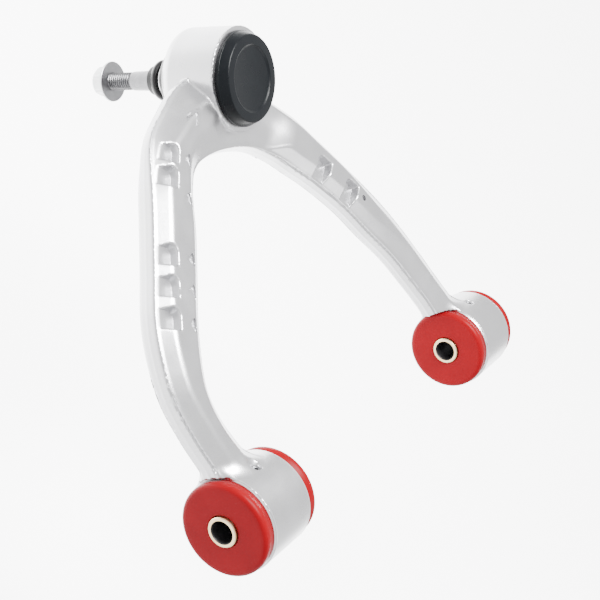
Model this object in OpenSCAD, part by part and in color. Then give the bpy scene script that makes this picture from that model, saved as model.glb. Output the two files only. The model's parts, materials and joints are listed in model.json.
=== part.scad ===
// Forged two-bushing upper control arm with a sealed ball joint.
// X runs along the pivot axis from the front bushing to the rear one, Y points towards the ball joint,
// and Z is up, out of the capped side of the ball joint. The origin is on the pivot axis, halfway
// between the two bushings.

/* [Pivot bushings] */
// Distance between the middles of the two bushings
bush_span = 314; // [302:2:324]
// Length of each steel sleeve
sleeve_len = 62; // [58:1:66]
// Radius of the sleeve bore, a free fit on the pivot bolt
sleeve_bore_r = 7.15; // [6.15:0.5:7.65]
// Outside radius of each sleeve
sleeve_r = 9.75; // [9.25:0.25:10.5]
// Running clearance between sleeve and bushing, radial
sleeve_gap = 0.05; // [0.02:0.01:0.1]
// Outside radius of a bushing flange
flange_r = 30; // [28:0.5:30]
// Thickness of a bushing flange
flange_t = 8.6; // [7.4:0.1:9.2]
// How far a sleeve stands out of the flange face
sleeve_proud = 1.6; // [1:0.1:2]
// Outside radius of the barrel that holds a bushing
barrel_r = 31; // [30.5:0.5:33]
// Inside radius of the barrel
barrel_bore_r = 25; // [23:0.5:26]

/* [Arm] */
// Thickness of the limbs between their flat faces
arm_t = 26; // [24:1:28]
// Height of the limbs' middle plane above the pivot axis
arm_mid = 2; // [0:0.5:2]
// Height of the upright side walls
side_h = 10.4; // [8:0.2:14]
// Width of the front limb beside its bushing
front_w_low = 34; // [32:1:36]
// Width of the front limb at its middle
front_w_mid = 37; // [35:1:40]
// Width of the front limb beside the ball joint
front_w_top = 44; // [40:1:46]
// Width of the rear limb beside its bushing
rear_w_low = 30; // [28:1:32]
// Width of the rear limb at its middle
rear_w_mid = 34; // [32:1:36]
// Width of the rear limb beside the ball joint
rear_w_top = 41; // [38:1:44]
// Depth of the pockets below the flat faces
pocket_depth = 6; // [4:0.5:7]

/* [Ball joint] */
// Place of the ball centre along X
ball_x = -24; // [-30:1:0]
// Distance of the ball centre from the pivot axis
ball_y = 249; // [244:1:254]
// Lean of the ball joint axis towards the pivot axis, in degrees
ball_lean = 18; // [12:1:20]
// Outside radius of the ball joint housing
house_r = 34; // [33:0.5:36]
// Height of the housing's top face above the ball centre
house_top = 21.3; // [21:0.1:23]
// Depth of the housing's lower face below the ball centre
house_low = 21; // [20:0.5:22]
// Radius of the ball
ball_r = 16; // [15:0.5:16]
// Radius of the stud's thread
thread_r = 6; // [5:0.5:6]
// Distance from the ball centre to the nut's seat
nut_seat = 82.5; // [80:0.5:90]

/* [Hidden] */
$fn = 96;

FRONT = -1;
REAR = 1;
seat = 0.02;            // gap between two pieces that are fixed together
through = 1;            // how far a cutting tool passes the face it cuts

// Bushings and their barrels
half_span = bush_span / 2;
barrel_len = sleeve_len - 2 * (sleeve_proud + flange_t);
barrel_edge = 1.4;      // chamfer at each end of a barrel
half_gap = 0.4;         // gap between the two halves of a bushing
flange_round = 3.2;
flange_room = 12;       // space kept clear of the limbs around each flange
flange_gap = 1;
port_r = 3;             // threaded grease port
port_angle = 35;        // rise of the port above the line to the ball joint
port_sink = 1.6;        // how far a plug sits below the barrel's surface

// Limbs: curves along the middle line of each one, from its bushing up
STEPS = 6;
front_low = [[-164, 24], [-185.5, 86], [-162.5, 121]];
front_top = [[-128.5, 174], [-105, 210.5], [-60, 236]];
rear_low = [[139, 26], [124, 74], [89, 119]];
rear_top = [[89, 119], [53, 169], [0, 211]];
bevel = 9.5;            // width of the sloping face between a side wall and a flat face
BEVEL_STEPS = 5;
arm_top = arm_mid + arm_t / 2;
pocket_w = 24;          // size of a pocket's cutter across the limb
pocket_in = 12.5;       // how far a pocket reaches in from the limb's edge
pocket_l = 14.5;        // length of a pocket along the limb
pocket_round = 3.5;
dent_depth = 1.2;       // shallow triangular dents in the flat face
dent_l = 13;
mark_h = 0.8;           // raised arrow beside the ball joint
web_h = 14;             // thickness of the thinner web between the limbs
web = [[-74, 182], [-70, 206], [-48, 226], [-2, 222], [9, 205], [0, 172]];

// Ball joint
liner_t = 2;
ball_gap = 0.05;        // running clearance between ball, liner and races
race_r = 24.5;
race_h = 12;            // height of the lower race below the ball centre
race_lip = 10;          // depth of its mouth's narrow edge
upper_race_h = 19;
plate_t = 2;
spring_h = 3.2;
cap_bore_r = 28.5;
cap_skirt = 9;
cap_rim_r = 31;
cap_rim_h = 2.7;
cap_face_r = 28;
cap_h = 8.7;            // height of the cap's face above the housing
cap_dish_r = 21.5;
cap_dish = 1.1;
spigot_r = 23;          // collar that the boot's base grips
spigot_h = 3;
mouth_r = 15.5;         // the housing's mouth, beside the lower race
mouth_end_r = 20;       // and at its outer end
house_round = 9;        // rounding of the housing's lower edge
neck_r = 7;
neck_end = 47.5;        // where the stud's taper starts below the ball centre
thread_top = 64;
shank_r = 6.4;
stud_end = 97;
pitch = 1.75;
groove = 0.9;           // depth of the thread's grooves
nut_h = 12;
nut_flange_r = 13.6;
nut_af = 18;
insert_h = 2.2;
waist_r = 11.3;         // the boot's narrow middle
waist_z = -36;
boot_wall = 1.6;

// ---- helpers ---------------------------------------------------------------------------------
function lerp(a, b, t) = a + (b - a) * t;
function quad(p, t) = (1 - t) * (1 - t) * p[0] + 2 * t * (1 - t) * p[1] + t * t * p[2];
function unit(v) = v / norm(v);
function curve(p) = [for (i = [0 : STEPS]) quad(p, i / STEPS)];
// Points on an arc, from angle a to angle b
function arc(c, r, a, b, n = 12) =
    [for (i = [0 : n]) let (t = lerp(a, b, i / n)) c + r * [cos(t), sin(t)]];

front_path = concat(curve(front_low), curve(front_top));
rear_path = concat(curve(rear_low), [for (i = [1 : STEPS]) quad(rear_top, i / STEPS)]);

// Width at fraction t of a limb's length
function width(w, t) = t < 0.5 ? lerp(w[0], w[1], 2 * t) : lerp(w[1], w[2], 2 * t - 1);

// One edge of a limb: its middle line moved sideways by half its width, less the inset
function edge(path, w, side, inset) = let (n = len(path) - 1)
    [for (i = [0 : n]) let (d = unit(path[min(i + 1, n)] - path[max(i - 1, 0)]))
        path[i] + side * (width(w, i / n) / 2 - inset) * [d.y, -d.x]];
function back(v) = [for (i = [len(v) - 1 : -1 : 0]) v[i]];

// Outline of both limbs, shrunk by inset: up the outside of one and down the inside of the other
function outline(inset) = let (
        fw = [front_w_low, front_w_mid, front_w_top],
        rw = [rear_w_low, rear_w_mid, rear_w_top])
    concat(edge(front_path, fw, -1, inset), back(edge(rear_path, rw, 1, inset)),
           edge(rear_path, rw, -1, inset), back(edge(front_path, fw, 1, inset)));

// Children in the ball joint's own frame: ball centre at the origin, +Z towards the cap
module at_ball() {
    translate([ball_x, ball_y, 0]) rotate([ball_lean, 0, 0]) children();
}

// Children in a bushing's own frame: +Z along the pivot axis, away from the other bushing
module at_bush(end) {
    translate([end * half_span, 0, 0]) rotate([0, end * 90, 0]) children();
}

// Children on the outside of a barrel, with +Z along its grease port
module at_port(end) {
    translate([end * half_span, 0, 0]) rotate([port_angle - 90, 0, 0]) children();
}

module ring(r_out, r_in, z0, z1) {
    translate([0, 0, z0]) difference() {
        cylinder(r = r_out, h = z1 - z0);
        translate([0, 0, -through]) cylinder(r = r_in, h = z1 - z0 + 2 * through);
    }
}

// ---- the forging -----------------------------------------------------------------------------
// A pocket cut into one edge of a limb. at is a point on the edge, turn the limb's direction
module pocket(at, turn) {
    end = [pocket_in - pocket_round, pocket_l / 2 - pocket_round];
    translate([at.x, at.y, arm_top - pocket_depth]) rotate(turn)
        linear_extrude(pocket_depth + through)
            polygon(concat([[pocket_in - pocket_w, -pocket_l / 2]],
                arc([end.x, -end.y], pocket_round, -90, 0, 4), arc(end, pocket_round, 0, 90, 4),
                [[pocket_in - pocket_w, pocket_l / 2]]));
}

module dent(at, turn) {
    translate([at.x, at.y, arm_top - dent_depth]) rotate(turn)
        linear_extrude(dent_depth + through) polygon([[-3.5, 0], [7, -dent_l / 2], [7, 1], [0, dent_l / 2]]);
}

module arm_pockets() {
    // turn is the direction of the limb's edge; the pocket opens away from its local +X
    for (p = [[-118, 220.5], [-128, 207]]) pocket(p, -38);
    for (i = [0 : 2]) pocket([-156.8, 164.6] - i * [9.9, 17], -30);
    for (p = [[36, 164], [58, 141]]) pocket(p, 40);
    for (p = [[-99, 202.5], [-113, 180]]) dent(p, -32);
    for (i = [0 : 2]) dent([-134, 145] - i * [10, 17], -30);
}

// Small raised arrow that points at the ball joint
module arrow_mark() {
    translate([-77, 231, arm_top - 0.2]) rotate(-62) linear_extrude(mark_h + 0.2)
        polygon([[-5, -4], [0, 5], [5, -4], [3.4, -4.8], [0, 1.8], [-3.4, -4.8]]);
}

// Both limbs in one piece, with the slope up to each flat face cut in steps
module limbs() {
    for (i = [0 : BEVEL_STEPS]) {
        h = lerp(side_h, arm_t, i / BEVEL_STEPS);
        translate([0, 0, arm_mid - h / 2]) linear_extrude(h) polygon(outline(bevel * i / BEVEL_STEPS));
    }
}

// Lowers both faces of the web where the limbs meet
module web_cut() {
    for (side = [0, 1]) translate([0, 0, arm_mid]) mirror([0, 0, side])
        translate([0, 0, web_h / 2]) linear_extrude(arm_t) polygon(web);
}

module house_solid() {
    at_ball() rotate_extrude()
        polygon(concat([[0, -house_low], [house_r - house_round, -house_low]],
            arc([house_r - house_round, house_round - house_low], house_round, -90, 0),
            [[house_r, house_top - 0.8], [house_r - 0.8, house_top], [0, house_top]]));
    at_ball() translate([0, 0, -house_low - spigot_h]) cylinder(r = spigot_r, h = spigot_h + through);
}

module house_bores() {
    at_ball() {
        translate([0, 0, house_top - cap_skirt]) cylinder(r = cap_bore_r, h = cap_skirt + through);
        translate([0, 0, house_top]) cylinder(r = house_r, h = arm_t);
        translate([0, 0, -race_h]) cylinder(r = race_r, h = race_h + house_top);
        translate([0, 0, -house_low - spigot_h])
            cylinder(r1 = mouth_end_r, r2 = mouth_r, h = house_low + spigot_h - race_h);
        translate([0, 0, -house_low - spigot_h - through]) cylinder(r = mouth_end_r, h = through);
    }
}

module barrel(end) {
    at_bush(end) translate([0, 0, -barrel_len / 2]) {
        cylinder(r1 = barrel_r - barrel_edge, r2 = barrel_r, h = barrel_edge);
        translate([0, 0, barrel_edge]) cylinder(r = barrel_r, h = barrel_len - 2 * barrel_edge);
        translate([0, 0, barrel_len - barrel_edge])
            cylinder(r1 = barrel_r, r2 = barrel_r - barrel_edge, h = barrel_edge);
    }
}

module forged_arm() {
    color([0.80, 0.80, 0.82]) difference() {
        union() {
            difference() {
                limbs();
                web_cut();
            }
            house_solid();
            arrow_mark();
            barrel(FRONT);
            barrel(REAR);
        }
        arm_pockets();
        house_bores();
        for (end = [FRONT, REAR]) {
            at_bush(end) translate([0, 0, -barrel_len]) cylinder(r = barrel_bore_r, h = 2 * barrel_len);
            for (side = [-1, 1])
                at_bush(end) translate([0, 0, side * (barrel_len + flange_room) / 2])
                    cylinder(r = flange_r + flange_gap, h = flange_room, center = true);
            at_port(end) cylinder(r = port_r, h = barrel_r + through);
        }
    }
}

// ---- pivot bushings --------------------------------------------------------------------------
module sleeve(end) {
    color([0.86, 0.80, 0.64]) at_bush(end) ring(sleeve_r, sleeve_bore_r, -sleeve_len / 2, sleeve_len / 2);
}

// One half of a bushing: a flange against the barrel's end and a tube halfway through it
module bushing_half(end) {
    r_in = sleeve_r + sleeve_gap;
    face = barrel_len / 2 + flange_t;
    color([0.80, 0.12, 0.16]) at_bush(end) rotate_extrude()
        polygon(concat(
            [[r_in, half_gap / 2], [barrel_bore_r - seat, half_gap / 2],
             [barrel_bore_r - seat, barrel_len / 2 + seat], [flange_r, barrel_len / 2 + seat]],
            arc([flange_r - flange_round, face - flange_round], flange_round, 0, 90, 6),
            [[r_in, face]]));
}

module mirror_bush(end) {
    translate([end * half_span, 0, 0]) mirror([1, 0, 0]) translate([-end * half_span, 0, 0]) children();
}

module grease_plug(end) {
    color([0.45, 0.45, 0.47]) at_port(end) translate([0, 0, barrel_bore_r + 0.3]) difference() {
        cylinder(r = port_r - seat, h = barrel_r - port_sink - barrel_bore_r - 0.3);
        translate([0, 0, 1.4]) cylinder(r = 1.6, h = barrel_r, $fn = 6);
    }
}

module front_sleeve() { sleeve(FRONT); }
module rear_sleeve() { sleeve(REAR); }
module front_bushing_outer() { bushing_half(FRONT); }
module front_bushing_inner() { mirror_bush(FRONT) bushing_half(FRONT); }
module rear_bushing_inner() { mirror_bush(REAR) bushing_half(REAR); }
module rear_bushing_outer() { bushing_half(REAR); }
module front_grease_plug() { grease_plug(FRONT); }
module rear_grease_plug() { grease_plug(REAR); }

// ---- ball joint ------------------------------------------------------------------------------
module ball_joint_cap() {
    face = house_top + cap_h;
    inner = face - 5.5;
    color([0.13, 0.14, 0.15]) at_ball() rotate_extrude()
        polygon([[0, inner], [race_r + seat, inner], [race_r + seat, house_top - cap_skirt + seat],
                 [cap_bore_r - seat, house_top - cap_skirt + seat], [cap_bore_r - seat, house_top + seat],
                 [cap_rim_r, house_top + seat], [cap_rim_r, house_top + cap_rim_h], [cap_face_r, face - 0.4],
                 [cap_face_r - 0.5, face], [cap_dish_r, face], [cap_dish_r - 1.5, face - cap_dish],
                 [0, face - cap_dish]]);
}

// Rubber ring that closes the step between the housing's bore and the cap's rim
module cap_seal_ring() {
    color([0.05, 0.05, 0.05]) at_ball() ring(race_r - seat, race_r - 3, upper_race_h + seat,
        house_top + cap_h - 5.5 - seat);
}

module preload_spring() {
    z0 = upper_race_h + plate_t + seat;
    color([0.55, 0.56, 0.58]) at_ball() rotate_extrude()
        polygon([[9, z0 + spring_h - 1.2], [20.6, z0], [21.2, z0 + 1.2], [9.6, z0 + spring_h]]);
}

module pressure_plate() {
    color([0.50, 0.51, 0.53]) at_ball()
        ring(race_r - 3.1, 5, upper_race_h + seat, upper_race_h + plate_t);
}

module upper_race() {
    color([0.93, 0.93, 0.90]) at_ball() difference() {
        ring(race_r - seat, 6, 0.2, upper_race_h);
        sphere(r = ball_r + liner_t + 2 * ball_gap);
    }
}

module lower_race() {
    color([0.60, 0.61, 0.63]) at_ball() difference() {
        translate([0, 0, -race_h + seat]) cylinder(r = race_r - seat, h = race_h - 2 * seat);
        sphere(r = ball_r + liner_t + 2 * ball_gap);
        translate([0, 0, -race_h - through])
            cylinder(r1 = mouth_r + 0.5, r2 = mouth_r - 0.5, h = race_h - race_lip + through);
    }
}

// Split polymer liner that floats between the ball and the races
module ball_liner() {
    color([0.95, 0.94, 0.88]) at_ball() difference() {
        sphere(r = ball_r + liner_t + ball_gap);
        sphere(r = ball_r + ball_gap);
        translate([0, 0, -40 - race_lip - 0.5]) cylinder(r = 30, h = 40);
        translate([0, 0, 13]) cylinder(r = 30, h = 40);
    }
}

module ball_stud() {
    turns = floor((stud_end - thread_top - 2) / pitch);
    color([0.62, 0.63, 0.65]) at_ball() union() {
        sphere(r = ball_r);
        rotate_extrude()
            polygon(concat(
                [[0, -ball_r / 2], [neck_r, -ball_r / 2], [neck_r, -neck_end], [shank_r, -thread_top]],
                [for (i = [0 : turns - 1], k = [0 : 2])
                    [thread_r - (k == 1 ? groove : 0), -thread_top - 0.8 - (i + [0, 0.45, 0.9][k]) * pitch]],
                [[thread_r - 0.8, -stud_end], [0, -stud_end]]));
    }
}

// Outline of one bellows fold: out from r0 at z0, round a bulge, and in to r1 at z1
function fold(r0, z0, r1, z1, bulge) = [for (i = [0 : 14]) let (t = i / 14)
    [lerp(r0, r1, t) + bulge * sin(180 * t), lerp(z0, z1, t)]];

module fold_shell(r0, z0, r1, z1, bulge) {
    outside = fold(r0, z0, r1, z1, bulge);
    inside = fold(r0 - boot_wall, z0, r1 - boot_wall, z1, bulge);
    rotate_extrude() polygon(concat(outside, [for (i = [14 : -1 : 0]) inside[i]]));
}

module boot_lower() {
    rim = -house_low - spigot_h;
    color([0.05, 0.05, 0.05]) at_ball() {
        ring(spigot_r + boot_wall, spigot_r + seat, rim - seat, -house_low - seat);
        ring(spigot_r + boot_wall, spigot_r - 3, rim - 1.2, rim - seat);
        fold_shell(spigot_r - 0.5, rim - 1.1, waist_r, waist_z + 1.1, 1.2);
    }
}

module boot_upper() {
    color([0.05, 0.05, 0.05]) at_ball() fold_shell(waist_r, waist_z - 1.1, 9.3, -neck_end + 3.2, 3.2);
}

module boot_base_clamp() {
    color([0.70, 0.71, 0.72]) at_ball()
        ring(spigot_r + 2.5, spigot_r + boot_wall + seat, -house_low - spigot_h + 0.4, -house_low - 0.6);
}

module boot_waist_ring() {
    color([0.80, 0.81, 0.82]) at_ball() ring(waist_r + 0.5, waist_r - 1.6, waist_z - 1.05, waist_z + 1.05);
}

module boot_neck_ring() {
    color([0.06, 0.06, 0.06]) at_ball() ring(9.6, neck_r + ball_gap, -neck_end + 0.1, -neck_end + 3.1);
}

// ---- nut -------------------------------------------------------------------------------------
module flange_nut() {
    color([0.78, 0.79, 0.78]) at_ball() difference() {
        union() {
            translate([0, 0, -nut_seat - 1.6]) cylinder(r = nut_flange_r, h = 1.6);
            translate([0, 0, -nut_seat - 4.2])
                cylinder(r1 = nut_af / 2, r2 = nut_flange_r, h = 2.6);
            translate([0, 0, -nut_seat - nut_h]) cylinder(r = nut_af / sqrt(3), h = nut_h - 1, $fn = 6);
        }
        translate([0, 0, -nut_seat - nut_h - through]) cylinder(r = thread_r + 0.03, h = nut_h + 2 * through);
        translate([0, 0, -nut_seat - nut_h - through])
            cylinder(r = thread_r + 1.5, h = insert_h + through);
    }
}

module nut_lock_insert() {
    color([0.20, 0.35, 0.60]) at_ball()
        ring(thread_r + 1.5 - seat, thread_r + 0.03, -nut_seat - nut_h, -nut_seat - nut_h + insert_h - seat);
}

forged_arm();
front_sleeve();
rear_sleeve();
front_bushing_outer();
front_bushing_inner();
rear_bushing_inner();
rear_bushing_outer();
front_grease_plug();
rear_grease_plug();
ball_joint_cap();
cap_seal_ring();
preload_spring();
pressure_plate();
upper_race();
lower_race();
ball_liner();
ball_stud();
boot_lower();
boot_upper();
boot_base_clamp();
boot_waist_ring();
boot_neck_ring();
flange_nut();
nut_lock_insert();
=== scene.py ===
"""Looks for the forged control arm: forging, bushings, ball joint, boot, stud and nut, in a pale studio."""
import json
import math

import bmesh
import bpy
import numpy as np
from mathutils import Matrix, Vector


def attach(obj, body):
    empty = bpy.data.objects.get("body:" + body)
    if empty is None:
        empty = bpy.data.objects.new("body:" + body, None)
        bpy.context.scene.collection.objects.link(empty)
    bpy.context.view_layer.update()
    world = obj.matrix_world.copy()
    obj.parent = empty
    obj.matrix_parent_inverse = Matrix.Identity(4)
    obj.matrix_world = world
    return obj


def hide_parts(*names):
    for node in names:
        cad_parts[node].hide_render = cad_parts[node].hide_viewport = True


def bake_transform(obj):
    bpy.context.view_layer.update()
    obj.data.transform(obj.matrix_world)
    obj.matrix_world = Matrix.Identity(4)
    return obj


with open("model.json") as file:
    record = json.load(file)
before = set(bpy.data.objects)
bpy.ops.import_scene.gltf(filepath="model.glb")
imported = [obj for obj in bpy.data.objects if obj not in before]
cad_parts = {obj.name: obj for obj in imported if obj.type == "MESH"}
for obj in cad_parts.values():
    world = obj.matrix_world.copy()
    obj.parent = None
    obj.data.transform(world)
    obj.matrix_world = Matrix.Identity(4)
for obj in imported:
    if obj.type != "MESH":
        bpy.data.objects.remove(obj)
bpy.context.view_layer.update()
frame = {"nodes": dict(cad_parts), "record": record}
NODES = frame["nodes"]
MM = 0.001

# ---- sizes shared with the CAD model, in millimetres ---------------------------------------------
HALF_SPAN, SLEEVE_LEN, SLEEVE_BORE, SLEEVE_R = 157.0, 62.0, 7.15, 9.75
FLANGE_R, FLANGE_T, PROUD = 30.0, 8.6, 1.6
BARREL_R, BARREL_BORE = 31.0, 25.0
BARREL_LEN = SLEEVE_LEN - 2 * (PROUD + FLANGE_T)
BALL = (-24.0, 249.0, 0.0)
LEAN = math.radians(18)
HOUSE_R, HOUSE_TOP, HOUSE_LOW, SPIGOT_R = 34.0, 21.3, -21.0, 23.0
PORT_ANGLE = math.radians(35)

# Local frames. Ball joint: +Z out of the cap. Bushing: +Z away from the other bushing.
AT_BALL = Matrix.Translation(Vector(BALL) * MM) @ Matrix.Rotation(LEAN, 4, "X")
AT_BUSH = {end: Matrix.Translation((end * HALF_SPAN * MM, 0, 0)) @ Matrix.Rotation(end * math.pi / 2, 4, "Y")
           for end in (-1, 1)}


# ---- materials -----------------------------------------------------------------------------------
class Mat:
    """A procedural material: one Principled shader and a few noise layers driving it."""

    def __init__(self, name, colour, metal, rough, spec=0.5):
        self.m = bpy.data.materials.new(name)
        self.m.use_nodes = True
        self.n, self.l = self.m.node_tree.nodes, self.m.node_tree.links
        self.b = self.n["Principled BSDF"]
        self.b.inputs["Base Color"].default_value = (*colour, 1)
        self.b.inputs["Metallic"].default_value = metal
        self.b.inputs["Roughness"].default_value = rough
        self.b.inputs["Specular IOR Level"].default_value = spec
        self.colour = colour
        self.height = None
        self.pos = self.n.new("ShaderNodeTexCoord").outputs["Object"]

    def noise(self, scale, detail=3.0, rough=0.55, stretch=None):
        vec = self.pos
        if stretch:
            mp = self.n.new("ShaderNodeMapping")
            mp.inputs["Scale"].default_value = stretch
            self.l.new(vec, mp.inputs["Vector"])
            vec = mp.outputs["Vector"]
        t = self.n.new("ShaderNodeTexNoise")
        t.inputs["Scale"].default_value = scale
        t.inputs["Detail"].default_value = detail
        t.inputs["Roughness"].default_value = rough
        self.l.new(vec, t.inputs["Vector"])
        return t.outputs["Fac"]

    def ramp(self, fac, a, b, lo, hi):
        r = self.n.new("ShaderNodeMapRange")
        for key, v in (("From Min", a), ("From Max", b), ("To Min", lo), ("To Max", hi)):
            r.inputs[key].default_value = v
        self.l.new(fac, r.inputs["Value"])
        return r.outputs["Result"]

    def vary_rough(self, fac, lo, hi):
        self.l.new(self.ramp(fac, 0.3, 0.7, lo, hi), self.b.inputs["Roughness"])

    def vary_colour(self, fac, other, a=0.35, b=0.7):
        mix = self.n.new("ShaderNodeMix")
        mix.data_type = "RGBA"
        mix.inputs["A"].default_value = (*self.colour, 1)
        mix.inputs["B"].default_value = (*other, 1)
        self.l.new(self.ramp(fac, a, b, 0, 1), mix.inputs["Factor"])
        self.l.new(mix.outputs["Result"], self.b.inputs["Base Color"])

    def bump(self, fac, strength, distance):
        b = self.n.new("ShaderNodeBump")
        b.inputs["Strength"].default_value = strength
        b.inputs["Distance"].default_value = distance
        self.l.new(fac, b.inputs["Height"])
        if self.height:
            self.l.new(self.height, b.inputs["Normal"])
        self.height = b.outputs["Normal"]
        self.l.new(self.height, self.b.inputs["Normal"])


def make_materials():
    """Every material slot's look, by name."""
    mats = {}
    a = Mat("forged_aluminium", (0.62, 0.62, 0.632), 1.0, 0.30)
    fine, broad = a.noise(1400, 4), a.noise(55, 3)
    a.vary_rough(broad, 0.26, 0.34)
    a.vary_colour(fine, (0.53, 0.53, 0.542), 0.3, 0.75)
    a.bump(fine, 0.22, 0.00012)
    a.bump(a.noise(260, 2), 0.10, 0.0003)
    mats["forged_aluminium"] = a

    m = Mat("machined_aluminium", (0.72, 0.72, 0.73), 1.0, 0.28)
    m.bump(m.noise(900, 2), 0.08, 0.0001)
    m.vary_rough(m.noise(300), 0.24, 0.34)
    mats["machined_aluminium"] = m

    r = Mat("red_polyurethane", (0.17, 0.0004, 0.0032), 0.0, 0.34, 0.07)
    r.b.inputs["Subsurface Weight"].default_value = 0.05
    r.b.inputs["Subsurface Radius"].default_value = (0.004, 0.001, 0.0006)
    r.vary_rough(r.noise(180), 0.30, 0.40)
    r.vary_colour(r.noise(70), (0.15, 0.0004, 0.0028))
    r.bump(r.noise(700, 3), 0.06, 0.00015)
    mats["red_polyurethane"] = r

    z = Mat("sleeve_zinc", (0.68, 0.50, 0.27), 1.0, 0.30)
    z.vary_rough(z.noise(400), 0.25, 0.38)
    z.vary_colour(z.noise(120), (0.66, 0.54, 0.35))
    z.bump(z.noise(900, 2, stretch=(6, 1, 1)), 0.08, 0.0001)
    mats["sleeve_zinc"] = z

    # Near-black: painted shade for the inside of the sleeves' holes, laid on their bores and inner chamfers.
    d = Mat("sleeve_bore", (0.030, 0.028, 0.030), 0.6, 0.45)
    d.vary_rough(d.noise(300), 0.4, 0.55)
    d.vary_colour(d.noise(120), (0.020, 0.019, 0.020))
    d.bump(d.noise(800, 2), 0.1, 0.0001)
    mats["sleeve_bore"] = d

    n = Mat("nut_zinc", (0.56, 0.57, 0.575), 1.0, 0.34)
    n.vary_rough(n.noise(350), 0.28, 0.42)
    n.vary_colour(n.noise(90), (0.48, 0.49, 0.50))
    n.bump(n.noise(900, 3), 0.10, 0.0001)
    mats["nut_zinc"] = n

    s = Mat("stud_steel", (0.17, 0.17, 0.175), 1.0, 0.28)
    s.vary_rough(s.noise(300), 0.24, 0.38)
    s.vary_colour(s.noise(160), (0.145, 0.145, 0.15))
    s.bump(s.noise(1200, 2), 0.10, 0.0001)
    mats["stud_steel"] = s

    c = Mat("black_cap", (0.0022, 0.0029, 0.0038), 0.0, 0.30, 0.11)
    c.vary_rough(c.noise(250), 0.26, 0.36)
    c.vary_colour(c.noise(90), (0.0030, 0.0037, 0.0046))
    c.bump(c.noise(1300, 3), 0.12, 0.00008)
    mats["black_cap"] = c

    k = Mat("black_rubber", (0.004, 0.004, 0.0045), 0.0, 0.30, 0.4)
    k.vary_rough(k.noise(200), 0.26, 0.42)
    k.vary_colour(k.noise(110), (0.007, 0.007, 0.008))
    k.bump(k.noise(800, 3), 0.08, 0.00015)
    mats["black_rubber"] = k

    for name, colour, rough in (("ring_steel", (0.80, 0.80, 0.81), 0.28),
                                ("plug_steel", (0.30, 0.30, 0.31), 0.36),
                                ("spring_steel", (0.45, 0.46, 0.48), 0.32)):
        g = Mat(name, colour, 1.0, rough)
        g.vary_rough(g.noise(300), rough - 0.05, rough + 0.08)
        g.vary_colour(g.noise(140), tuple(0.85 * v for v in colour))
        g.bump(g.noise(900, 2), 0.08, 0.0001)
        mats[name] = g
    for name, colour in (("race_polymer", (0.80, 0.79, 0.72)), ("insert_polymer", (0.05, 0.16, 0.45))):
        g = Mat(name, colour, 0.0, 0.45)
        g.vary_rough(g.noise(200), 0.4, 0.52)
        g.vary_colour(g.noise(100), tuple(0.9 * v for v in colour))
        g.bump(g.noise(700, 2), 0.08, 0.0001)
        mats[name] = g
    return {k: v.m for k, v in mats.items()}


MATS = make_materials()
SLOT_OF = {s["node"]: s["material_slot"] for s in frame["record"]["subparts"]}
for node, obj in NODES.items():
    obj.data.materials.clear()
    obj.data.materials.append(MATS[SLOT_OF[node]])


# ---- mesh helpers --------------------------------------------------------------------------------
def finish_mesh(name, verts, faces, mats, body, frame_matrix=None, sharp=40, face_mats=None):
    """Makes the object in metres in the row frame, shades it and puts it on its body."""
    me = bpy.data.meshes.new(name)
    me.from_pydata([tuple(v) for v in verts], [], [tuple(f) for f in faces])
    if frame_matrix is not None:
        me.transform(frame_matrix)
    for m in mats:
        me.materials.append(MATS[m])
    if face_mats is not None:
        me.polygons.foreach_set("material_index", np.asarray(face_mats, dtype=np.int32))
    me.validate()
    bm = bmesh.new()
    bm.from_mesh(me)
    bmesh.ops.recalc_face_normals(bm, faces=bm.faces)
    bm.to_mesh(me)
    bm.free()
    me.shade_smooth()
    me.set_sharp_from_angle(angle=math.radians(sharp))
    me.update()
    ob = bpy.data.objects.new(name, me)
    bpy.context.collection.objects.link(ob)
    if body:
        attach(ob, body)
    return ob


def lathe(name, profile, matrix, mats, body, closed=True, seg=160, sharp=40, bands=None):
    """Turns a profile of (radius, height) in millimetres about local +Z. bands gives a material per edge."""
    prof = [(r * MM, z * MM) for r, z in profile]
    n = len(prof)
    verts, faces, fm, rows = [], [], [], []
    for r, z in prof:
        if r < 1e-9:
            rows.append([len(verts)] * seg)
            verts.append((0, 0, z))
        else:
            rows.append(list(range(len(verts), len(verts) + seg)))
            verts += circle(lambda angle: r, z, seg)
    for i in range(n if closed else n - 1):
        a, b = rows[i], rows[(i + 1) % n]
        if a[0] == a[1] and b[0] == b[1]:
            continue
        for k in range(seg):
            k2 = (k + 1) % seg
            quad = [a[k], a[k2], b[k2], b[k]]
            face = [v for j, v in enumerate(quad) if v not in quad[:j]]
            faces.append(face)
            fm.append(bands[i] if bands else 0)
    return finish_mesh(name, verts, faces, mats, body, matrix, sharp, fm)


def circle(radius_at, z, seg):
    """Points round local +Z at height z, with the radius as a function of the angle."""
    angles = [2 * math.pi * k / seg for k in range(seg)]
    return [(radius_at(a) * math.cos(a), radius_at(a) * math.sin(a), z) for a in angles]


def arc(cx, cz, r, a0, a1, n=8):
    """Points on an arc in a profile, angles in degrees."""
    return [(cx + r * math.cos(math.radians(a0 + (a1 - a0) * i / n)),
             cz + r * math.sin(math.radians(a0 + (a1 - a0) * i / n))) for i in range(n + 1)]


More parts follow.
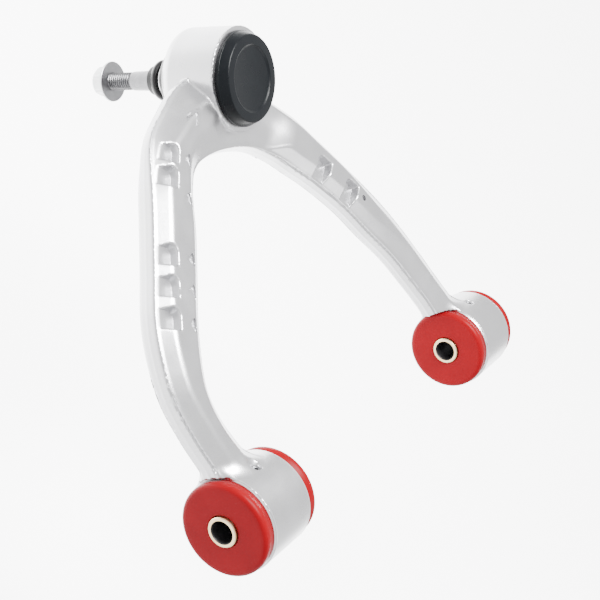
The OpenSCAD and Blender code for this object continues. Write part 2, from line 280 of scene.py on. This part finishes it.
# ---- the forging as a distance field -------------------------------------------------------------
# Edges of the limbs in plan, in millimetres, as the control points of smooth curves.
OUTER_FRONT = [(-176, 12), (-181, 34), (-187.5, 58), (-191, 84), (-187, 109), (-178.5, 131.5),
               (-163.5, 155.5), (-145.5, 184.5), (-131.5, 207.5), (-116, 228), (-96, 240.5), (-76, 250.5),
               (-58, 254.5), (-38, 256)]
OUTER_REAR = [(-6, 243), (14, 225), (36, 207), (51, 190), (70, 168), (89, 145), (104, 125), (117, 104),
              (129, 81), (140, 58), (148, 42), (156, 22), (160, 8)]
INNER = [(140, 4), (124, 20), (116.5, 40), (104.5, 63), (91, 86.5), (73, 110), (55.5, 134), (32.5, 158),
         (15, 173), (-1, 186.5), (-24, 199), (-56, 204.5), (-84, 202), (-99, 190), (-113, 164),
         (-128, 140), (-144, 115), (-156, 90), (-159.5, 74), (-157, 56), (-149, 34), (-143, 10)]
MID_Z = 2.0             # height of the limbs' middle plane
HALF_LIMB = 13.0        # half the limbs' thickness
BAND_H = 5.2            # half height of the side wall's drafted band
LEDGE = 0.2             # step in from the band to the foot of the bevel
TOP_Z = MID_Z + HALF_LIMB
BEVEL = 9.3             # width of the sloping face beside the pockets
WEB_DIP = 6.5           # how far the web between the limbs lies below their flat faces
# Recesses: the place of each in plan, and for the pockets their turn in degrees.
POCKETS = [((-118, 220.5), -38), ((-128, 207), -36), ((-156.8, 164.6), -30), ((-166.7, 147.6), -30),
           ((-176.6, 130.6), -30), ((36, 164), 40), ((58, 141), 40)]
POCKET_FLOOR = TOP_Z - 6.0
DENTS = [(-101.5, 206.9), (-115.2, 185.4), (-135.2, 151.9), (-145.3, 134.8), (-156.6, 117.4)]
DENT_FLOOR = TOP_Z - 2.0
PIT, PIT_R, PIT_FLOOR = (73, 135), 2.1, TOP_Z - 6
ARROW, ARROW_TURN, ARROW_H = (-77, 231), -62, 0.75
# Fillets, and the bores that other pieces sit in.
HOUSE_FILLET, BARREL_FILLET, HOUSE_ROUND = 1.0, 9.0, 8.5
CAP_BORE, CAP_SINK, RACE_R, RACE_LOW, MOUTH_R, MOUTH_FLARE = 28.5, 9, 24.5, -12, 15.5, 0.375
PORT_R, SPIGOT_H, PAST = 3.0, 3, 2      # PAST is how far a cutter passes the face it cuts
GRID = 0.85             # spacing of the sampling grid
GRID_LOW, GRID_HIGH = (-192.3, -34.1, -33.2), (183.4, 290.5, 33.6)
MOST_TRIANGLES = 190000


def spline(points, per=10):
    """A smooth curve through the points, with per steps between each two."""
    p = np.array(points, float)
    p = np.vstack([2 * p[0] - p[1], p, 2 * p[-1] - p[-2]])
    out = []
    for i in range(1, len(p) - 2):
        for t in np.arange(per) / per:
            out.append(0.5 * (2 * p[i] + (p[i + 1] - p[i - 1]) * t
                              + (2 * p[i - 1] - 5 * p[i] + 4 * p[i + 1] - p[i + 2]) * t ** 2
                              + (3 * (p[i] - p[i + 1]) + p[i + 2] - p[i - 1]) * t ** 3))
    return np.array(out + [p[-2]])


OUTLINE = np.vstack([spline(OUTER_FRONT), spline(OUTER_REAR), spline(INNER)])


class Plan:
    """Signed distance to the outline in plan, tabled once and read between its points."""

    def __init__(self, poly, lo, hi, step=0.5):
        self.lo, self.step = lo, step
        xs = np.arange(lo[0], hi[0] + step, step)
        ys = np.arange(lo[1], hi[1] + step, step)
        gx, gy = np.meshgrid(xs, ys, indexing="ij")
        px, py = gx.ravel(), gy.ravel()
        best = np.full(px.shape, 1e9)
        inside = np.zeros(px.shape, bool)
        a, b = poly, np.roll(poly, -1, axis=0)
        for (ax, ay), (bx, by) in zip(a, b):
            ex, ey = bx - ax, by - ay
            q = ex * ex + ey * ey
            if q < 1e-9:
                continue
            t = np.clip(((px - ax) * ex + (py - ay) * ey) / q, 0, 1)
            best = np.minimum(best, (px - ax - t * ex) ** 2 + (py - ay - t * ey) ** 2)
            if ay != by:
                cross = (ay > py) != (by > py)
                inside ^= cross & (px < ex * (py - ay) / ey + ax)
        d = np.sqrt(best)
        self.t = np.where(inside, -d, d).reshape(gx.shape).astype(np.float32)

    def __call__(self, x, y):
        u = np.clip((x - self.lo[0]) / self.step, 0, self.t.shape[0] - 1.001)
        v = np.clip((y - self.lo[1]) / self.step, 0, self.t.shape[1] - 1.001)
        i, j = u.astype(np.int32), v.astype(np.int32)
        fu, fv = u - i, v - j
        t = self.t
        return (t[i, j] * (1 - fu) * (1 - fv) + t[i + 1, j] * fu * (1 - fv)
                + t[i, j + 1] * (1 - fu) * fv + t[i + 1, j + 1] * fu * fv)


def join(a, b, r):
    """Union with a fillet of radius r."""
    u, v = np.maximum(r - a, 0), np.maximum(r - b, 0)
    return np.maximum(r, np.minimum(a, b)) - np.sqrt(u * u + v * v)


def meet(a, b, r):
    """Intersection with an edge rounded to radius r."""
    u, v = np.maximum(r + a, 0), np.maximum(r + b, 0)
    return np.minimum(-r, np.maximum(a, b)) + np.sqrt(u * u + v * v)


def cut(a, b, r):
    return meet(a, -b, r)


def turned(x, y, at, turn):
    """Coordinates from a place in plan, turned by so many degrees."""
    c, s = math.cos(math.radians(turn)), math.sin(math.radians(turn))
    dx, dy = x - at[0], y - at[1]
    return c * dx + s * dy, -s * dx + c * dy


def smooth(t):
    t = np.clip(t, 0, 1)
    return t * t * (3 - 2 * t)


def ramp(v, a, b):
    return smooth((v - a) / (b - a))


def pocket(x, y, z, at, turn):
    """Recess in the bevel: flat floor, steep walls, and a large rounded corner at its upper end."""
    u, v = turned(x, y, at, turn)
    up = np.maximum(z - POCKET_FLOOR, 0)
    du, dv = u - (12.3 + 0.08 * up), v - (4.9 + 0.38 * up)
    side = meet(meet(du, dv, 4.2 + 0.3 * up), -v - 6.2 - 0.15 * up, 1.2)
    return np.maximum(np.maximum(side * 0.95, POCKET_FLOOR - z), -u - 20.0)


def dent(x, y, z, at):
    """Shallow pocket in the flat face: a triangle with its point towards the bushing."""
    u, v = x - at[0], y - at[1]
    top = 0.97 * v - 0.24 * u - 2.8
    inner = 0.955 * u - 0.3 * v - 2.1
    outer = -0.88 * u - 0.475 * v - 2.3
    return np.maximum(meet(meet(top, inner, 1.2), outer, 0.8), DENT_FLOOR - z)


def arrow(x, y, at, turn):
    """Outline of the arrow: a bent bar with its point along local +Y."""
    u, v = turned(x, y, at, turn)
    u = np.abs(u)
    return np.maximum(np.abs(0.894 * u + 0.447 * (v - 4.0)) - 1.0, np.maximum(u - 4.6, -v - 6))


def limb_body(x, y, z, plan):
    """Both limbs: drafted side walls, bevels, flat faces, the dipped web, a groove and the flash line."""
    s = plan(x, y)
    a = np.abs(z - MID_Z)
    # The flat face narrows and the bevel widens towards each bushing and towards the housing.
    low = 1 - ramp(y, 45, 130)
    near = ramp(y, 192, 240) * ramp(-x, 30, 60)
    bevel = BEVEL + 0.7 * low + 8.0 * near + 4.5 * ramp(x, 62, 95)
    band_h = BAND_H - 3.4 * near
    rise = HALF_LIMB - band_h
    inner_web = np.clip(1 - np.hypot((x + 25) / 52, (y - 207) / 28), 0, 1)
    top = HALF_LIMB - WEB_DIP * smooth(inner_web * 1.8)
    band = meet(s + 0.09 * a, a - band_h - 1.0, 0.4)
    face = ((s + LEDGE) * rise + (a - band_h) * bevel) / np.sqrt(rise ** 2 + bevel ** 2)
    upper = meet(meet(face, a - top, 1.4), s + LEDGE, 0.8)
    body = join(meet(band, a - top, 1.5), upper, 0.9)
    # A groove runs along the foot of the bevel, except beside the front limb's pockets.
    depth = np.maximum(1 - ramp(y, 60, 125), ramp(x, -30, 20))
    groove = np.hypot(s + 0.6, a - band_h - 0.4) - 1.3 * depth + 0.4
    body = cut(body, groove, 0.5)
    # The flash line left along the parting plane.
    return join(body, np.hypot(s + 0.25, a) - 0.40, 0.3)


def ball_frame(x, y, z):
    """Coordinates from the ball's centre, with Z along its leaning axis."""
    c, s = math.cos(LEAN), math.sin(LEAN)
    dx, dy, dz = x - BALL[0], y - BALL[1], z - BALL[2]
    ly, lz = c * dy + s * dz, -s * dy + c * dz
    return dx, ly, lz


def forging(x, y, z, plan):
    """Signed distance to the whole forging, in millimetres."""
    d = limb_body(x, y, z, plan)
    for at in DENTS:
        d = cut(d, dent(x, y, z, at), 0.6)
    for at, turn in POCKETS:
        d = cut(d, pocket(x, y, z, at, turn), 0.9)
    d = cut(d, np.maximum(np.hypot(x - PIT[0], y - PIT[1]) - PIT_R, PIT_FLOOR - z), 0.3)
    mark = meet(arrow(x, y, ARROW, ARROW_TURN), z - TOP_Z - ARROW_H, 0.3)
    d = join(d, np.maximum(mark, TOP_Z - 2 - z), 0.4)
    lx, ly, lz = ball_frame(x, y, z)
    r = np.hypot(lx, ly)
    house = meet(meet(r - HOUSE_R, lz - HOUSE_TOP, 0.7), HOUSE_LOW - lz, HOUSE_ROUND)
    d = cut(d, np.maximum(r - HOUSE_R, HOUSE_TOP - lz), 0.5)
    d = join(d, house, HOUSE_FILLET)
    # Keep the fillet out of the space above the housing's ledge.
    d = cut(d, np.maximum(r - HOUSE_R - 0.35, HOUSE_TOP - lz + 0.02), 0.3)
    d = join(d, np.maximum(r - SPIGOT_R, np.maximum(HOUSE_LOW - SPIGOT_H - lz, lz)), 1.2)
    for end in (-1, 1):
        q = np.abs(x - end * HALF_SPAN) - BARREL_LEN / 2
        rb = np.hypot(y, z)
        barrel = meet(rb - BARREL_R, q + 0.6, 0.8)
        d = join(d, np.where(np.abs(x - end * HALF_SPAN) < 60, barrel, 60), BARREL_FILLET)
        d = cut(d, np.maximum(rb - BARREL_R - 0.3, np.maximum(-q, q - 16)), 0.8)
    for end in (-1, 1):
        q = np.abs(x - end * HALF_SPAN) - BARREL_LEN
        d = np.maximum(d, -np.maximum(np.hypot(y, z) - BARREL_BORE, q))
        c, s = math.cos(PORT_ANGLE), math.sin(PORT_ANGLE)
        along = c * y + s * z
        off = np.hypot(x - end * HALF_SPAN, -s * y + c * z)
        d = cut(d, np.maximum(off - PORT_R, 20 - along), 0.25)
        d = cut(d, np.maximum(off - PORT_R - 0.7 * (along - BARREL_R + 0.9), 27 - along), 0.2)
    above = lz - HOUSE_TOP - PAST
    d = cut(d, np.maximum(r - CAP_BORE, np.maximum(HOUSE_TOP - CAP_SINK - lz, above)), 0.3)
    d = np.maximum(d, -np.maximum(r - RACE_R, np.maximum(RACE_LOW - lz, above)))
    mouth = (r - MOUTH_R - MOUTH_FLARE * np.maximum(RACE_LOW - lz, 0)) * 0.93
    return np.maximum(d, -np.maximum(mouth, np.maximum(HOUSE_LOW - SPIGOT_H - PAST - lz, lz)))


def contour(field, lo, hi, h):
    """Dual contouring: one vertex per crossed cell, placed to fit the surface planes around it."""
    n = np.ceil((np.array(hi) - np.array(lo)) / h).astype(int) + 1
    xs, ys, zs = (lo[k] + h * np.arange(n[k]) for k in range(3))
    gx, gy = np.meshgrid(xs, ys, indexing="ij")
    vol = np.empty(tuple(n), np.float32)
    for k, z in enumerate(zs):
        vol[:, :, k] = field(gx, gy, np.full_like(gx, z))
    sign = vol < 0
    points, cells, quads = [], [], []
    # Where the grid's edges along each axis cross the surface, and the four cells round each crossing.
    for ax in range(3):
        a = [slice(None)] * 3
        b = [slice(None)] * 3
        a[ax], b[ax] = slice(0, -1), slice(1, None)
        cross = sign[tuple(a)] != sign[tuple(b)]
        idx = np.argwhere(cross)
        o1, o2 = [k for k in range(3) if k != ax]
        inner = (idx[:, o1] > 0) & (idx[:, o2] > 0) & (idx[:, o1] < n[o1] - 1) & (idx[:, o2] < n[o2] - 1)
        idx = idx[inner]
        beyond = idx.copy()
        beyond[:, ax] += 1
        near_value, far_value = vol[tuple(idx.T)], vol[tuple(beyond.T)]
        t = np.clip(near_value / (near_value - far_value), 0.001, 0.999)
        p = np.array(lo) + h * idx.astype(float)
        p[:, ax] += h * t
        points.append(p)
        four = []
        for s1, s2 in ((0, 0), (0, 1), (1, 1), (1, 0)):
            c = idx.copy()
            c[:, o1] -= s1
            c[:, o2] -= s2
            four.append(c)
        cells.append(four)
        flip = (vol[tuple(idx.T)] < 0) ^ (ax == 1)
        quads.append((four, flip))
    all_cells = np.vstack([c for four in cells for c in four])
    key = np.ravel_multi_index(all_cells.T, tuple(n - 1))
    used = np.unique(key)

    def index(c):
        return np.searchsorted(used, np.ravel_multi_index(c.T, tuple(n - 1)))

    def value(q):
        return field(q[:, 0], q[:, 1], q[:, 2])

    total = len(used)
    atb, centre = np.zeros((total, 3)), np.zeros((total, 3))
    nudge = 0.12 * h
    pts = np.vstack(points)
    grad = np.stack([value(pts + d) - value(pts - d) for d in np.eye(3) * nudge], axis=1)
    grad /= np.linalg.norm(grad, axis=1, keepdims=True) + 1e-12
    # One row for each crossing of each cell: the cell, the place and the surface's slope there.
    start = 0
    rows = []
    for four, p in zip(cells, points):
        g = grad[start:start + len(p)]
        start += len(p)
        for c in four:
            rows.append((index(c), p, g))
    ids = np.concatenate([r[0] for r in rows])
    crossings = np.vstack([r[1] for r in rows])
    slopes = np.vstack([r[2] for r in rows])
    for k in range(3):
        centre[:, k] = np.bincount(ids, crossings[:, k], total)
    count = np.bincount(ids, minlength=total).astype(float)
    centre /= count[:, None]
    rel = crossings - centre[ids]
    dist = np.einsum("ij,ij->i", rel, slopes)
    # Each cell's vertex is moved from the middle of its crossings to where their planes meet.
    full = np.zeros((total, 3, 3))
    for i in range(3):
        atb[:, i] = np.bincount(ids, slopes[:, i] * dist, total)
        for j in range(3):
            full[:, i, j] = np.bincount(ids, slopes[:, i] * slopes[:, j], total)
    full += np.eye(3) * 0.08
    move = np.linalg.solve(full, atb[:, :, None])[:, :, 0]
    length = np.linalg.norm(move, axis=1, keepdims=True)
    move *= np.minimum(1, 0.9 * h / np.maximum(length, 1e-9))
    verts = centre + move
    faces = []
    for four, flip in quads:
        q = np.stack([index(c) for c in four], axis=1)
        q[flip] = q[flip][:, ::-1]
        faces.append(q)
    return verts, np.vstack(faces)


def grid_mesh(name, verts, faces):
    """A mesh in metres from arrays of points in millimetres and of four-sided faces."""
    me = bpy.data.meshes.new(name)
    me.vertices.add(len(verts))
    me.vertices.foreach_set("co", (verts * MM).astype(np.float32).ravel())
    me.loops.add(faces.size)
    me.loops.foreach_set("vertex_index", faces.astype(np.int32).ravel())
    me.polygons.add(len(faces))
    me.polygons.foreach_set("loop_start", np.arange(0, faces.size, 4, dtype=np.int32))
    me.update(calc_edges=True)
    me.validate()
    return me


def make_forging():
    plan = Plan(OUTLINE, (-205, -45), (205, 300))
    step = GRID * 1
    verts, faces = contour(lambda x, y, z: forging(x, y, z, plan), GRID_LOW, GRID_HIGH, step)
    me = grid_mesh("forging", verts, faces)
    me.materials.append(MATS["forged_aluminium"])
    me.shade_smooth()
    ob = bpy.data.objects.new("forging", me)
    bpy.context.collection.objects.link(ob)
    tris = 2 * len(faces)
    if tris > MOST_TRIANGLES:
        thin = ob.modifiers.new("thin", "DECIMATE")
        thin.ratio = MOST_TRIANGLES / tris
        thinned = bpy.data.meshes.new_from_object(ob.evaluated_get(bpy.context.evaluated_depsgraph_get()))
        ob.modifiers.clear()
        ob.data = thinned
    ob.data.shade_smooth()
    ob.data.set_sharp_from_angle(angle=math.radians(38))
    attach(ob, "arm")
    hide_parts("forged_arm")
    print("forging:", len(verts), "vertices,", tris, "triangles before thinning")


make_forging()


# ---- turned and moulded pieces -------------------------------------------------------------------
def make_bushings():
    """Each half: a flange with a rounded rim over the barrel's end and a tube down into the barrel."""
    face, back = BARREL_LEN / 2 + FLANGE_T, BARREL_LEN / 2 + 0.02
    r_in = SLEEVE_R + 0.05
    profile = ([(r_in, 0.2), (BARREL_BORE - 0.02, 0.2), (BARREL_BORE - 0.02, back), (FLANGE_R - 1.0, back),
                (FLANGE_R - 0.5, back + 0.6), (FLANGE_R - 0.4, back + 2.9), (FLANGE_R, back + 3.4)]
               + arc(FLANGE_R - 3.2, face - 3.2, 3.2, 0, 80, 9)
               + [(FLANGE_R - 4.2, face - 0.03), (SLEEVE_R + 4.2, face), (SLEEVE_R + 2.6, face - 0.03)]
               + arc(SLEEVE_R + 1.0, face - 0.55, 0.5, 90, 180, 4)
               + [(r_in, face - 1.2)])
    for end, side, name in ((-1, 1, "front_bushing_outer"), (-1, -1, "front_bushing_inner"),
                            (1, -1, "rear_bushing_inner"), (1, 1, "rear_bushing_outer")):
        turn = Matrix.Rotation(math.pi, 4, "X") if side < 0 else Matrix.Identity(4)
        ob = lathe(name + "_moulded", profile, AT_BUSH[end] @ turn, ["red_polyurethane"], "arm",
                   seg=192, sharp=50)
        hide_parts(name)


def make_barrel_rims():
    """Machined ends of the barrels: a flat ring, a bright chamfer and a narrow land."""
    end_z = BARREL_LEN / 2
    profile = [(BARREL_BORE + 0.3, end_z - 2.6), (BARREL_R - 0.6, end_z - 2.6),
               (BARREL_R + 0.04, end_z - 2.0), (BARREL_R + 0.04, end_z - 1.3),
               (FLANGE_R - 0.1, end_z - 0.05), (FLANGE_R - 0.6, end_z + 0.01),
               (BARREL_BORE + 0.3, end_z + 0.01)]
    for end in (-1, 1):
        for side in (-1, 1):
            turn = Matrix.Rotation(math.pi, 4, "X") if side < 0 else Matrix.Identity(4)
            name = "barrel_rim_" + ("front" if end < 0 else "rear") + ("_outer" if side > 0 else "_inner")
            lathe(name, profile, AT_BUSH[end] @ turn, ["machined_aluminium"], "arm",
                  seg=192, sharp=25)


def make_sleeves():
    """A plated tube in each bushing, with chamfered ends and a near-black bore: painted shade for the inside
    of the hole.
    """
    half = SLEEVE_LEN / 2
    profile = [(SLEEVE_BORE, -half + 0.9), (SLEEVE_BORE + 0.5, -half), (SLEEVE_R - 0.5, -half),
               (SLEEVE_R, -half + 0.5), (SLEEVE_R, half - 0.5), (SLEEVE_R - 0.5, half),
               (SLEEVE_BORE + 0.5, half), (SLEEVE_BORE, half - 0.9)]
    # Bands marked 1, the inner chamfers and the bore, take sleeve_bore: painted shade.
    inside = [1, 0, 0, 0, 0, 0, 1, 1]
    for end, name in ((-1, "front_sleeve"), (1, "rear_sleeve")):
        ob = lathe(name + "_turned", profile, AT_BUSH[end], ["sleeve_zinc", "sleeve_bore"], "sleeves",
                   seg=144, sharp=25, bands=inside)
        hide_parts(name)


def make_cap():
    """The screwed cap: a skirt in the housing, a rounded rim, a sloping shoulder and a dished face."""
    top, rim = HOUSE_TOP, 31.0
    face = top + 8.7
    profile = ([(0, face - 5.5), (24.5, face - 5.5), (24.52, top - 8.98), (28.48, top - 8.98),
                (28.48, top + 0.02), (rim - 0.3, top + 0.02), (rim, top + 0.3), (rim, top + 2.0)]
               + arc(rim - 0.6, top + 2.1, 0.6, 0, 60, 4)
               + [(28.55, face - 0.75)]
               + arc(27.6, face - 0.8, 0.8, 55, 90, 4)
               + [(22.1, face)] + arc(22.1, face - 0.5, 0.5, 90, 140, 3)
               + [(20.6, face - 1.0), (20.0, face - 1.1), (0, face - 1.1)])
    ob = lathe("cap_turned", profile, AT_BALL, ["black_cap"], "arm", seg=192, sharp=28)
    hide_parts("ball_joint_cap")


def bellows(r0, z0, r1, z1, bulge, wall=1.6, n=18, lean=0.0):
    """A rounded fold: the outer skin from (r0, z0) to (r1, z1), and the inner skin back again.

    lean moves the fattest place of the fold towards its first end."""
    out = []
    for i in range(n + 1):
        t = i / n
        swell = bulge * math.sin(math.pi * min(1, t ** (1 - lean))) ** 0.75
        out.append((r0 + (r1 - r0) * t + swell, z0 + (z1 - z0) * t))
    return out + [(r - wall, z) for r, z in reversed(out)]


def make_boot():
    """Two folds of one rubber boot, each turned in the ball joint's frame and baked in place on no body."""
    low = HOUSE_LOW - SPIGOT_H
    cuff = HOUSE_LOW - 0.05
    profile = ([(SPIGOT_R + 1.6, cuff), (SPIGOT_R + 1.6, low - 0.4), (SPIGOT_R + 1.1, low - 1.1),
                (SPIGOT_R + 0.2, low - 1.6)]
               + bellows(SPIGOT_R - 1.0, low - 2.4, 11.6, -34.9, 1.6)
               + [(SPIGOT_R - 3, low - 1.2), (SPIGOT_R - 3, low - 0.02), (SPIGOT_R + 0.02, low - 0.02),
                  (SPIGOT_R + 0.02, cuff)])
    ob = lathe("boot_lower_moulded", profile, AT_BALL, ["black_rubber"], None, sharp=60)
    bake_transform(ob)
    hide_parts("boot_lower")
    profile = bellows(11.3, -37.1, 9.3, -44.3, 3.1, lean=0.1)
    ob = lathe("boot_upper_moulded", profile, AT_BALL, ["black_rubber"], None, sharp=60)
    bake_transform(ob)
    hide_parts("boot_upper")


def make_stud():
    """Ball, slim waist inside the boot, neck, taper and a rolled thread that runs out into the shank."""
    seg, per = 96, 14
    ball_r, neck_r, waist_r, shank, root, crest, pitch = 16.0, 7.0, 4.8, 6.4, 5.05, 6.0, 1.75
    z_top, z_end = -65.2, -96.8
    smooth_part = ([(0, ball_r)] + arc(0, 0, ball_r, 86, -60, 40)
                   + [(neck_r + 0.2, -14.9), (waist_r + 0.5, -17.5), (waist_r, -20.5), (waist_r, -38.5),
                      (waist_r + 0.6, -41), (neck_r, -43), (neck_r, -47.3), (neck_r - 0.12, -47.9),
                      (shank, -63.6), (shank - 0.1, -64.3), (root + 0.2, z_top)])
    verts, faces, rows = [], [], []
    for r, z in smooth_part:
        rows.append(len(verts))
        verts += circle(lambda angle: r, z, seg)
    steps = int((z_top - z_end) / pitch * per)
    for i in range(1, steps + 1):
        z = z_top - (z_top - z_end) * i / steps
        rows.append(len(verts))
        into = min(1, i / per / 1.2)
        out = min(1, (steps - i) / per / 0.9)
        for k in range(seg):
            phase = ((z_top - z) / pitch + k / seg) % 1
            tooth = min(1, max(0, 1.5 - 3.1 * abs(phase - 0.5) - 0.28))
            r = root + (crest - root) * tooth
            r = min(r, root + 0.2 + (crest - root) * into) if into < 1 else r
            r = min(r, crest - 1.0 + 1.0 * out) if out < 1 else r
            a = 2 * math.pi * k / seg
            verts.append((r * math.cos(a), r * math.sin(a), z))
    for a, b in zip(rows, rows[1:]):
        for k in range(seg):
            k2 = (k + 1) % seg
            faces.append((a + k, a + k2, b + k2, b + k))
    cap = len(verts)
    verts.append((0, 0, z_end - 0.2))
    last = rows[-1]
    faces += [(last + k, last + (k + 1) % seg, cap) for k in range(seg)]
    verts = [(x * MM, y * MM, z * MM) for x, y, z in verts]
    faces = [f[::-1] for f in faces]
    ob = finish_mesh("stud_rolled", verts, faces, ["stud_steel"], "stud", AT_BALL, 34)
    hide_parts("ball_stud")


def make_nut():
    """Hexagon with chamfered corners standing on a coned washer flange."""
    seat, flat, cone_r, hex_h = -82.5, 9.0, 13.6, 12.0
    seg = 180
    corner = flat / math.cos(math.pi / 6)

    def hex_r(a):
        return flat / math.cos((a + math.pi / 6) % (math.pi / 3) - math.pi / 6)

    rows = [(lambda a: 6.15, seat), (lambda a: cone_r - 0.3, seat), (lambda a: cone_r, seat - 0.3),
            (lambda a: cone_r, seat - 1.3), (lambda a: cone_r - 0.4, seat - 1.7),
            (lambda a: max(hex_r(a) + 0.5, 11.2), seat - 2.9), (lambda a: max(hex_r(a), 9.9), seat - 4.2),
            (hex_r, seat - 4.9), (lambda a: min(hex_r(a), corner - 0.15), seat - 9.8),
            (lambda a: min(hex_r(a), corner - 0.9), seat - 10.7), (lambda a: 8.6, seat - 11.0),
            (lambda a: 8.3, seat - hex_h + 0.3), (lambda a: 7.9, seat - hex_h),
            (lambda a: 7.52, seat - hex_h), (lambda a: 7.52, seat - hex_h + 2.2),
            (lambda a: 6.15, seat - hex_h + 2.2)]
    verts, faces = [], []
    for radius_at, z in rows:
        verts += [tuple(v * MM for v in p) for p in circle(radius_at, z, seg)]
    n = len(rows)
    for i in range(n):
        a, b = i * seg, ((i + 1) % n) * seg
        faces += [(a + k, b + k, b + (k + 1) % seg, a + (k + 1) % seg) for k in range(seg)]
    # The flange's seat face gets the darker plug_steel: painted shade, standing in for the dark reflection
    # this face shows.
    seat_painted_shade = [1] * seg + [0] * (seg * (n - 1))
    ob = finish_mesh("flange_nut_cut", verts, faces, ["nut_zinc", "plug_steel"], "stud",
                     AT_BALL, 24, seat_painted_shade)
    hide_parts("flange_nut")


def make_waist_ring():
    """The flattened wire round the boot's narrow middle."""
    turns = np.linspace(0, 2 * math.pi, 14)[:-1]
    profile = [(11.4 + 0.42 * math.cos(t), -36 + 0.75 * math.sin(t)) for t in turns]
    ob = lathe("waist_ring_wire", profile, AT_BALL, ["ring_steel"], "liner", seg=144, sharp=60)
    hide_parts("boot_waist_ring")


make_bushings()
make_barrel_rims()
make_sleeves()
make_cap()
make_boot()
make_stud()
make_nut()
make_waist_ring()


# ---- camera, light and floor ---------------------------------------------------------------------
FLOOR_NEAR, FLOOR_FAR = 0.35, 5.2   # how brightly the floor glows in front of the part and behind it


def make_camera():
    """A long lens from above the front bushing's side, rolled as the view is."""
    cam = bpy.data.cameras.new("camera")
    cam.lens, cam.sensor_width = 86.34, 36.0
    cam.clip_start, cam.clip_end = 0.01, 20
    ob = bpy.data.objects.new("camera", cam)
    back = Vector((-0.8113, 0.1253, 0.5710)).normalized()
    up = Vector((0.3091, 0.9210, 0.2370))
    right = up.cross(back).normalized()
    up = back.cross(right)
    ob.matrix_world = Matrix.Translation((-0.8037, 0.2133, 0.5470)) @ Matrix(
        (right, up, back)).transposed().to_4x4()
    bpy.context.collection.objects.link(ob)
    bpy.context.scene.camera = ob


def area_light(name, at, size, watts, target=(0, 0.12, 0), colour=(1, 1, 1)):
    data = bpy.data.lights.new(name, "AREA")
    data.shape, data.size, data.size_y = "RECTANGLE", size[0], size[1]
    data.energy, data.color = watts, colour
    ob = bpy.data.objects.new(name, data)
    ob.location = at
    ob.rotation_euler = (Vector(target) - Vector(at)).to_track_quat("-Z", "Y").to_euler()
    ob.visible_camera = False
    bpy.context.collection.objects.link(ob)
    return ob


def light_floor(tree, shader):
    """The floor glows behind the part like a lit studio sweep and fades towards the front."""
    n, l = tree.nodes, tree.links
    place = n.new("ShaderNodeTexCoord").outputs["Object"]
    glow = None
    for towards, a, b in (((1, 0, 0), -0.62, -0.04), ((0.555, 0.832, 0), -0.42, -0.02)):
        along = n.new("ShaderNodeVectorMath")
        along.operation = "DOT_PRODUCT"
        along.inputs[1].default_value = towards
        l.new(place, along.inputs[0])
        r = n.new("ShaderNodeMapRange")
        r.interpolation_type = "SMOOTHSTEP"
        for key, v in (("From Min", a), ("From Max", b), ("To Min", 0), ("To Max", 1)):
            r.inputs[key].default_value = v
        l.new(along.outputs["Value"], r.inputs["Value"])
        if glow is None:
            glow = r.outputs["Result"]
        else:
            both = n.new("ShaderNodeMath")
            both.operation = "MULTIPLY"
            l.new(glow, both.inputs[0])
            l.new(r.outputs["Result"], both.inputs[1])
            glow = both.outputs["Value"]
    level = n.new("ShaderNodeMapRange")
    level.inputs["To Min"].default_value = FLOOR_NEAR
    level.inputs["To Max"].default_value = FLOOR_FAR
    l.new(glow, level.inputs["Value"])
    l.new(level.outputs["Result"], shader.inputs["Emission Strength"])


def make_studio():
    """An even pale sky and the floor below the part."""
    world = bpy.data.worlds.new("studio")
    bpy.context.scene.world = world
    world.use_nodes = True
    bg = world.node_tree.nodes["Background"]
    bg.inputs["Color"].default_value = (1, 1, 1, 1)
    bg.inputs["Strength"].default_value = 1.65
    floor_z = -0.30
    me = bpy.data.meshes.new("floor")
    s = 6.0
    corners = [(-s, -s, floor_z), (s, -s, floor_z), (s, s, floor_z), (-s, s, floor_z)]
    me.from_pydata(corners, [], [(0, 1, 2, 3)])
    m = bpy.data.materials.new("floor")
    m.use_nodes = True
    b = m.node_tree.nodes["Principled BSDF"]
    b.inputs["Base Color"].default_value = (0.93, 0.93, 0.93, 1)
    b.inputs["Roughness"].default_value = 0.9
    b.inputs["Specular IOR Level"].default_value = 0.1
    b.inputs["Emission Color"].default_value = (1, 1, 1, 1)
    light_floor(m.node_tree, b)
    me.materials.append(m)
    floor = bpy.data.objects.new("floor", me)
    bpy.context.collection.objects.link(floor)


make_camera()
make_studio()
area_light("overhead", (-0.10, 0.55, 1.10), (0.7, 0.7), 74)
area_light("side", (0.35, -1.1, 0.75), (0.8, 0.8), 6)
